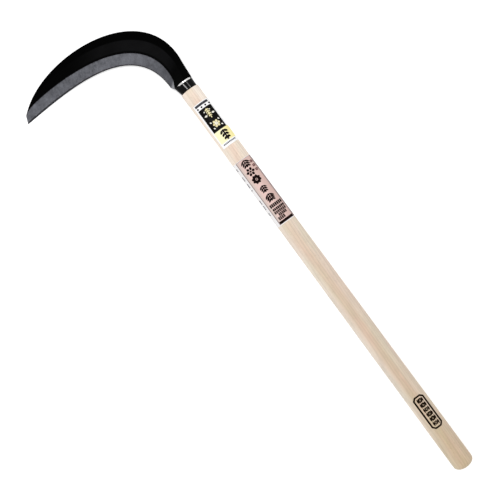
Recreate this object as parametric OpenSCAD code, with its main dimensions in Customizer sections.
// Long-handled single-bevel sickle for clearing brush, lying flat with the ground side of its blade up.
// The handle runs along X with the blade at high X, and the blade reaches out towards +Y.
// The origin is under the middle of the whole tool, on the surface that it lies on.

/* [Handle] */
// Length of the handle from the butt to the shoulder behind the ferrule
handle_l = 863.7; // [600:1:1100]
// Width of the oval handle at the butt
butt_w = 40.4; // [34:0.1:46]
// Height of the oval handle at the butt
butt_h = 30; // [26:0.1:34]
// Width of the oval handle behind the ferrule
head_w = 37; // [35:0.1:40]
// Height of the oval handle behind the ferrule
head_h = 27.5; // [26.6:0.1:30]
// How late along the handle the taper sets in, 1 for an even taper
taper_power = 1.3; // [1:0.05:2]
// Roundness of the oval, 2 for an ellipse and more for a squarer section
oval_power = 2.15; // [2:0.05:2.6]
// How far the butt end bulges out of the handle's oval
butt_dome = 11.5; // [4:0.1:16]
// Share of the oval's width that is left flat in the middle of the butt
butt_flat = 0.3; // [0.2:0.01:0.6]
// Radius that eases the rim behind the ferrule
shoulder_round = 1.2; // [0.4:0.1:1.6]

/* [Ferrule] */
// Length of the ferrule along the handle
ferrule_l = 15.2; // [12:0.1:30]
// Width of the ferrule at its handle end
ferrule_w = 33.2; // [32:0.1:34.5]
// Height of the ferrule at its handle end
ferrule_h = 24; // [23:0.1:26]
// Wall of the ferrule at its handle end
ferrule_wall = 1.4; // [1:0.1:2]
// How far the ferrule flares towards the edge side of the blade
flare_edge = 4.3; // [1:0.1:6]
// How far the ferrule flares towards the back of the blade
flare_back = 0.5; // [0:0.1:2]
// How far the ferrule flares up and down
flare_h = 0.5; // [0:0.1:1]

/* [Mouth ring] */
// Width of the bright ring in the mouth of the ferrule
ring_w = 31; // [28:0.1:32]
// Height of the bright ring
ring_h = 26; // [24:0.1:26.4]
// Thickness of the bright ring along the handle
ring_t = 3.8; // [2:0.1:6]
// Width of the wall between the ring's outside and its opening
ring_wall = 4.6; // [3:0.1:5]
// Radius that rounds the outside of the ring
ring_round = 1.2; // [0.5:0.1:1.8]

/* [Blade outline] */
// How far the tip of the edge reaches sideways from the handle's axis
blade_reach = 280.2; // [220:0.1:320]
// How far the tip of the edge lies ahead of the blade's shoulders
tip_ahead = 111.9; // [80:0.1:140]
// Length of the blunt cut that ends the blade at the tip
tip_cut_l = 15.7; // [8:0.1:24]
// Direction of the blunt cut, from the edge to the back of the blade
tip_cut_angle = -24; // [-40:1:0]
// How far the heel of the edge lies ahead of the blade's shoulders
heel_ahead = 6.6; // [3:0.1:9]
// How far the heel of the edge lies to the side of the handle's axis
heel_side = 25.3; // [23:0.1:30]
// Direction in which the edge leaves the heel
edge_root_angle = -0.7; // [-6:0.1:6]
// Pull that keeps the edge straight at the heel
edge_root_pull = 128; // [100:1:150]
// Direction from the tip back along the edge
edge_tip_angle = -87.2; // [-92:0.1:-80]
// Pull that keeps the edge straight at the tip
edge_tip_pull = 88; // [60:1:110]
// Length of the straight neck along the back of the blade
neck_l = 31.2; // [16:0.5:36]
// How far the neck stands out at the back where it meets the ferrule
neck_back = 17.7; // [15:0.1:19]
// How much further out the back lies where the neck ends
neck_swell = 2.3; // [0:0.1:6]
// Direction in which the back of the blade leaves the neck
back_root_angle = -8.6; // [-14:0.1:-4]
// Pull that keeps the back straight at the neck
back_root_pull = 150.5; // [125:0.1:170]
// Direction from the tip back along the back of the blade
back_tip_angle = -47.4; // [-56:0.1:-40]
// Pull that keeps the back straight at the tip
back_tip_pull = 111.9; // [90:0.1:130]

/* [Blade section] */
// Thickness of the forged neck
neck_t = 8; // [6:0.1:9]
// Thickness of the blade's ridge beyond the neck
ridge_t = 4.7; // [4:0.1:6]
// Thickness of the blade's ridge at the tip
tip_t = 2.4; // [2:0.1:3.6]
// Width of the ground bevel past the heel
bevel_w = 21.2; // [16:0.1:26]
// How much wider the ground bevel gets on its way to the tip
bevel_growth = 3.5; // [0:0.1:5]
// Share of the bevel's width that is lost at the heel
bevel_heel_loss = 0.38; // [0.1:0.01:0.6]
// How much narrower the bevel gets in its last stretch before the tip
bevel_tip_loss = 8.5; // [0:0.1:10]
// Thickness left on the cutting edge
edge_t = 0.25; // [0.15:0.05:0.4]
// Thickness of the hard steel layer welded under the edge
steel_t = 0.6; // [0.5:0.05:1]
// Width of the hard steel layer
steel_w = 27; // [20:0.5:34]
// Chamfer along the back of the blade
back_chamfer = 0.7; // [0.3:0.1:1]

/* [Tang] */
// Length of the tang inside the handle, from the blade's shoulders
tang_l = 98; // [60:1:140]
// Width of the tang at the ferrule's mouth
tang_w = 20; // [16:0.5:20.5]
// Thickness of the tang at the ferrule's mouth
tang_t = 6; // [4:0.1:6.4]
// Width of the tang at its inner end
tang_end_w = 11; // [8:0.5:14]
// Thickness of the tang at its inner end
tang_end_t = 4; // [3:0.1:4.6]
// Length of the wedge driven in beside the tang
wedge_l = 62; // [40:1:80]
// Thickness of the wedge at the handle's end
wedge_t = 2.6; // [1.6:0.1:3]
// Diameter of the pin through the ferrule, the wood and the tang
pin_d = 4; // [3:0.1:5]
// Diameter of the pin's flat head
pin_head_d = 7; // [6:0.1:9]
// Thickness of the pin's flat head
pin_head_t = 0.8; // [0.5:0.1:1]

/* [Labels] */
// Thickness of the labels
label_t = 0.25; // [0.15:0.05:0.5]
// Gap between the wood and the labels
label_gap = 0.05; // [0.05:0.05:0.15]
// Distance from the handle's shoulder to the upper label
upper_label_at = 31; // [20:1:60]
// Length of the upper label
upper_label_l = 95.8; // [60:1:110]
// Where the upper label starts around the handle, from the top towards the edge side
upper_label_from = 48; // [20:1:60]
// How far the upper label wraps around the handle
upper_label_wrap = 150; // [90:1:170]
// Distance from the handle's shoulder to the lower label
lower_label_at = 161.2; // [160:1:220]
// Length of the lower label
lower_label_l = 140.7; // [100:1:180]
// Where the lower label starts around the handle, from the top towards the edge side
lower_label_from = 118; // [80:1:130]
// How far the lower label wraps around the handle
lower_label_wrap = 226; // [120:1:240]

/* [Hidden] */

// Fits between the pieces
seat_gap = 0.1;      // faces that stand against each other
bore_gap = 0.1;      // ferrule around the wood
tang_gap = 0.2;      // mortise around the tang and the wedge
pin_gap = 0.05;      // bores around the pin
mouth_gap = 0.3;     // blade's shoulders ahead of the ring
wedge_slack = 0.4;   // wedge beside the mortise's walls
past = 1;            // how far a cut runs on past the face that it opens

// Fineness of the round forms
oval_sides = 48;
blade_steps = 56;
rim_steps = 5;
dome_steps = 8;
handle_rings = 10;
label_turns = 26;
label_rings = 4;
round_fn = 48;

// Places along the handle, from the butt
ferrule_x = handle_l + seat_gap;
ring_x = ferrule_x + ferrule_l;
shoulder_x = ring_x + ring_t + mouth_gap;
tenon_end_x = ring_x - seat_gap;
pin_x = ferrule_x + ferrule_l / 2;
head_z = head_h / 2;

// Cross-sections of the head
bore_w = ferrule_w - 2 * ferrule_wall;
bore_h = ferrule_h - 2 * ferrule_wall;
tenon_w = bore_w - 2 * bore_gap;
tenon_h = bore_h - 2 * bore_gap;
tang_x0 = shoulder_x - tang_l;
tang_root = 1.5;     // how far the tang runs on into the blade
tenon_root = 5;      // how far the tenon runs back into the handle
tang_z = head_z;
wedge_end_t = 0.5;   // thin end of the wedge
blade_under = head_z - neck_t / 2;

// Curves of the blade seen from above
heel = [shoulder_x + heel_ahead, heel_side];
tip = [shoulder_x + tip_ahead, blade_reach];
tip_back = tip + polar(tip_cut_l, tip_cut_angle);
neck_end = [shoulder_x + neck_l, -neck_back - neck_swell];
edge_curve = [heel, heel + polar(edge_root_pull, edge_root_angle),
              tip + polar(edge_tip_pull, edge_tip_angle), tip];
back_curve = [neck_end, neck_end + polar(back_root_pull, back_root_angle),
              tip_back + polar(back_tip_pull, back_tip_angle), tip_back];
heel_slope = 0.6;    // how fast the blade widens from its shoulder to the heel
shoulder_side = heel_side - heel_ahead * heel_slope;

// The outline's limits, which put the origin under the middle of the tool
back_points = [for (i = [0:blade_steps]) bezier(back_curve, i / blade_steps)];
crown_x = max([for (p = back_points) p[0]]);
low_y = min(concat([-butt_w / 2], [for (p = back_points) p[1]]));
high_y = max(tip[1], tip_back[1]);
origin = [crown_x / 2, (low_y + high_y) / 2, 0];

// Finish colours
wood_colour = [0.87, 0.78, 0.66];
black_colour = [0.05, 0.05, 0.05];
ground_colour = [0.45, 0.45, 0.48];
bright_colour = [0.92, 0.92, 0.92];
label_colour = [0.16, 0.15, 0.12];
pink_colour = [0.88, 0.74, 0.72];

function polar(r, a) = [r * cos(a), r * sin(a)];
function mix(a, b, t) = a + (b - a) * t;
function signed_power(v, e) = sign(v) * pow(abs(v), e);
function bezier(c, t) = pow(1 - t, 3) * c[0] + 3 * pow(1 - t, 2) * t * c[1]
    + 3 * (1 - t) * t * t * c[2] + pow(t, 3) * c[3];

// A point on the handle's oval, with the angle counted from +Y towards +Z
function oval_point(w, h, a) =
    [w / 2 * signed_power(cos(a), 2 / oval_power), h / 2 * signed_power(sin(a), 2 / oval_power)];
// A ring of points on the oval, in the plane at x
function oval_ring(x, w, h, y, z) = [for (i = [0:oval_sides - 1])
    let (p = oval_point(w, h, 360 * i / oval_sides)) [x, y + p[0], z + p[1]]];

// The handle's size at x. Its underside stays straight, so all of the taper comes off the top.
function handle_share(x) = pow(x / handle_l, taper_power);
function handle_w(x) = mix(butt_w, head_w, handle_share(x));
function handle_h(x) = mix(butt_h, head_h, handle_share(x));
function handle_ring(x, inset) =
    oval_ring(x, handle_w(x) - 2 * inset, handle_h(x) - 2 * inset, 0, handle_h(x) / 2);
// The domed butt follows a quarter ellipse, from the edge of its flat to the full oval
flat_angle = asin(butt_flat);
function dome_ring(a) = let (x = butt_dome * (1 - cos(a) / cos(flat_angle)))
    oval_ring(x, handle_w(x) * sin(a), handle_h(x) * sin(a), 0, handle_h(x) / 2);

// Joins rings of equally many points into one closed solid. The rings follow each other along the solid,
// and each runs from +Y towards +Z where the solid points along +X. An end face is spread from the last
// point of its ring, so a section with a notch has the notch there. A strip's ring runs out along one face
// and back along the other, and its ends are closed between the points that face each other.
module loft(rings, strip = false) {
    n = len(rings[0]);
    last = len(rings) - 1;
    sides = [for (r = [0:last - 1], i = [0:n - 1], half = [0, 1])
        let (a = r * n + i, b = r * n + (i + 1) % n)
        half == 0 ? [a, b + n, b] : [a, a + n, b + n]];
    start_cap = strip ? [for (i = [0:n / 2 - 2]) [i, i + 1, n - 2 - i, n - 1 - i]]
                      : [[for (i = [-1:n - 2]) (i + n) % n]];
    end_cap = [for (face = start_cap)
        [for (i = [0:len(face) - 1]) last * n + face[(len(face) - i) % len(face)]]];
    polyhedron(points = [for (ring = rings) each ring], faces = concat(sides, start_cap, end_cap));
}

// A straight oval bar from x0 to x1
module oval_bar(x0, x1, w, h) {
    translate([x0, 0, head_z]) rotate([90, 0, 90]) linear_extrude(x1 - x0)
        polygon([for (i = [0:oval_sides - 1]) oval_point(w, h, 360 * i / oval_sides)]);
}

// A bar that tapers from x0 to x1, with its own width, lower face and upper face at each end
module taper_bar(x0, w0, low0, high0, x1, w1, low1, high1) {
    loft([for (s = [[x0, w0, low0, high0], [x1, w1, low1, high1]])
        [[s[0], -s[1] / 2, s[2]], [s[0], s[1] / 2, s[2]], [s[0], s[1] / 2, s[3]], [s[0], -s[1] / 2, s[3]]]]);
}

// The room in the head's end for the tang and the wedge
module mortise() {
    taper_bar(tang_x0 - tang_gap, tang_end_w + 2 * tang_gap,
              tang_z - tang_end_t / 2 - tang_gap, tang_z + tang_end_t / 2 + tang_gap,
              shoulder_x, tang_w + 2 * tang_gap,
              tang_z - tang_t / 2 - tang_gap, tang_z + tang_t / 2 + tang_gap);
    taper_bar(wedge_x0 - tang_gap, tang_end_w + 2 * tang_gap,
              tang_z, wedge_high(wedge_x0) + tang_gap,
              shoulder_x, tang_end_w + 2 * tang_gap,
              tang_z, wedge_high(shoulder_x) + tang_gap);
}

// The upper face of the tang, and the wedge that lies on it
wedge_x0 = tenon_end_x - wedge_l;
function tang_high(x) = tang_z + mix(tang_end_t, tang_t, (x - tang_x0) / tang_l) / 2;
function wedge_low(x) = tang_high(x) + seat_gap;
function wedge_high(x) = wedge_low(x) + mix(wedge_end_t, wedge_t, (x - wedge_x0) / wedge_l);

// The pin runs up from below into the tang, so its bores do too
pin_low = head_z - ferrule_h / 2 - flare_h - pin_head_t;
module pin_shaft(gap) {
    translate([pin_x, 0, pin_low])
        cylinder(d = pin_d + 2 * gap, h = tang_high(pin_x) - pin_low, $fn = round_fn);
}

module handle() color(wood_colour) {
    dome = [for (i = [0:dome_steps]) dome_ring(mix(flat_angle, 90, i / dome_steps))];
    body_end = handle_l - shoulder_round;
    body = [for (i = [1:handle_rings]) handle_ring(mix(butt_dome, body_end, i / handle_rings), 0)];
    shoulder = [for (i = [1:rim_steps]) let (a = 90 * i / rim_steps)
        handle_ring(body_end + shoulder_round * sin(a), shoulder_round * (1 - cos(a)))];
    difference() {
        union() {
            loft(concat(dome, body, shoulder));
            oval_bar(handle_l - tenon_root, tenon_end_x, tenon_w, tenon_h);
        }
        mortise();
        pin_shaft(pin_gap);
    }
}

module ferrule() color(black_colour) {
    front_x = ring_x + ring_t;
    front_w = ferrule_w + flare_edge + flare_back;
    front_h = ferrule_h + 2 * flare_h;
    difference() {
        loft([oval_ring(ferrule_x, ferrule_w, ferrule_h, 0, head_z),
              oval_ring(front_x, front_w, front_h, (flare_edge - flare_back) / 2, head_z)]);
        oval_bar(ferrule_x - past, front_x + past, bore_w, bore_h);
        // The top and the bottom stop short of the mouth, and two side lugs run on beside the ring
        translate([ring_x, -ring_w / 2 - seat_gap, -past])
            cube([ring_t + past, ring_w + 2 * seat_gap, head_h + 2 * past]);
        pin_shaft(pin_gap);
    }
}

module mouth_ring() color(bright_colour) {
    outside = concat(
        [for (i = [0:rim_steps]) let (a = 90 * i / rim_steps)
            [ring_round * (1 - cos(a)), ring_round * (1 - sin(a))]],
        [for (i = [rim_steps:-1:0]) let (a = 90 * i / rim_steps)
            [ring_t - seat_gap - ring_round * (1 - cos(a)), ring_round * (1 - sin(a))]]);
    translate([ring_x + seat_gap, 0, 0]) difference() {
        loft([for (p = outside) oval_ring(p[0], ring_w - 2 * p[1], ring_h - 2 * p[1], 0, head_z)]);
        oval_bar(-past, ring_t + past, ring_w - 2 * ring_wall, ring_h - 2 * ring_wall);
    }
}

// The blade's underside slopes down evenly from the neck, so that its tip lies on the floor
function under(p) = blade_under * (1 - p[1] / blade_reach);
// These powers say how soon the forged neck, the heel and the last stretch before the tip fade out
ridge_power = 0.8;
neck_power = 12;
heel_power = 11;
last_power = 12;
function blade_t(u) = mix(tip_t, ridge_t, pow(1 - u, ridge_power))
    + (neck_t - ridge_t) * pow(1 - u, neck_power);
function bevel_at(u) = (bevel_w + bevel_growth * u) * (1 - bevel_heel_loss * pow(1 - u, heel_power))
    - bevel_tip_loss * pow(u, last_power);

// The bevel never takes more than this share of the blade's width, and hardly any at the shoulders
bevel_most = 0.93;
bevel_least = 0.02;
// A station holds the edge, the bevel's upper line, the back and the thickness
function station(u) = let (e = bezier(edge_curve, u), b = bezier(back_curve, u), w = norm(b - e))
    [e, mix(e, b, min(bevel_at(u) / w, bevel_most)), b, blade_t(u)];
shoulder_station = let (e = [shoulder_x, shoulder_side], b = [shoulder_x, -neck_back])
    [e, mix(e, b, bevel_least), b, neck_t];
stations = concat([shoulder_station], [for (i = [0:blade_steps]) station(i / blade_steps)]);

// Share of the ridge's thickness that is left at the bevel's line and at the back
bevel_line_share = 0.84;
back_share = 0.82;
// Where the ridge lies between the bevel's line and the back
ridge_place = 0.6;

function at(p, z) = [p[0], p[1], under(p) + z];
// The line where the hard steel comes out on the bevel
function weld_out(s) = mix(s[0], s[1], (steel_t - edge_t) / (s[3] * bevel_line_share - edge_t));
// The hard steel's inner border, which stays short of the back where the blade gets narrow
weld_most = 0.8;
function weld_in(s) = mix(s[0], s[2], min(steel_w / norm(s[2] - s[0]), weld_most));

function iron_section(s) = let (
    b = s[2], t = s[3], back_t = t * back_share,
    inner = mix(b, s[0], back_chamfer / norm(b - s[0]))) [
        at(weld_out(s), steel_t),
        at(s[1], t * bevel_line_share),
        at(mix(s[1], b, ridge_place), t),
        at(inner, back_t),
        at(b, back_t - back_chamfer),
        at(b, back_chamfer),
        at(inner, 0),
        at(weld_in(s), 0),
        at(weld_in(s), steel_t)];
function steel_section(s) = [
    at(s[0], edge_t),
    at(weld_out(s), steel_t),
    at(weld_in(s), steel_t),
    at(weld_in(s), 0),
    at(s[0], 0)];

module blade() color(black_colour) {
    difference() {
        union() {
            loft([for (s = stations) iron_section(s)]);
            tang_x1 = shoulder_x + tang_root;
            taper_bar(tang_x0, tang_end_w, tang_z - tang_end_t / 2, tang_z + tang_end_t / 2,
                      tang_x1, tang_w, tang_z - tang_t / 2, tang_z + tang_t / 2);
        }
        pin_shaft(pin_gap);
    }
}

module edge_steel() color(ground_colour) {
    loft([for (s = stations) steel_section(s)]);
}

module tang_wedge() color(wood_colour) {
    taper_bar(wedge_x0, tang_end_w - wedge_slack, wedge_low(wedge_x0), wedge_high(wedge_x0),
              tenon_end_x, tang_end_w, wedge_low(tenon_end_x), wedge_high(tenon_end_x));
}

module ferrule_pin() color(bright_colour) {
    pin_shaft(0);
    translate([pin_x, 0, pin_low]) cylinder(d = pin_head_d, h = pin_head_t, $fn = round_fn);
}

// A thin sheet that follows the oval from one angle to the other
module wrapped_label(x0, x1, from, to) {
    function sheet_point(x, a, off) = let (
        p = oval_point(handle_w(x) + 2 * off, handle_h(x) + 2 * off, a)) [x, p[0], p[1] + handle_h(x) / 2];
    function sheet_ring(x) = concat(
        [for (i = [0:label_turns]) sheet_point(x, mix(from, to, i / label_turns), label_gap + label_t)],
        [for (i = [label_turns:-1:0]) sheet_point(x, mix(from, to, i / label_turns), label_gap)]);
    loft([for (i = [0:label_rings]) sheet_ring(mix(x0, x1, i / label_rings))], strip = true);
}

module upper_label() color(label_colour) {
    x1 = handle_l - upper_label_at;
    wrapped_label(x1 - upper_label_l, x1, 90 - upper_label_from, 90 - upper_label_from + upper_label_wrap);
}

module lower_label() color(pink_colour) {
    x1 = handle_l - lower_label_at;
    wrapped_label(x1 - lower_label_l, x1, 90 - lower_label_from, 90 - lower_label_from + lower_label_wrap);
}

translate(-origin) handle();
translate(-origin) ferrule();
translate(-origin) mouth_ring();
translate(-origin) blade();
translate(-origin) edge_steel();
translate(-origin) tang_wedge();
translate(-origin) ferrule_pin();
translate(-origin) upper_label();
translate(-origin) lower_label();
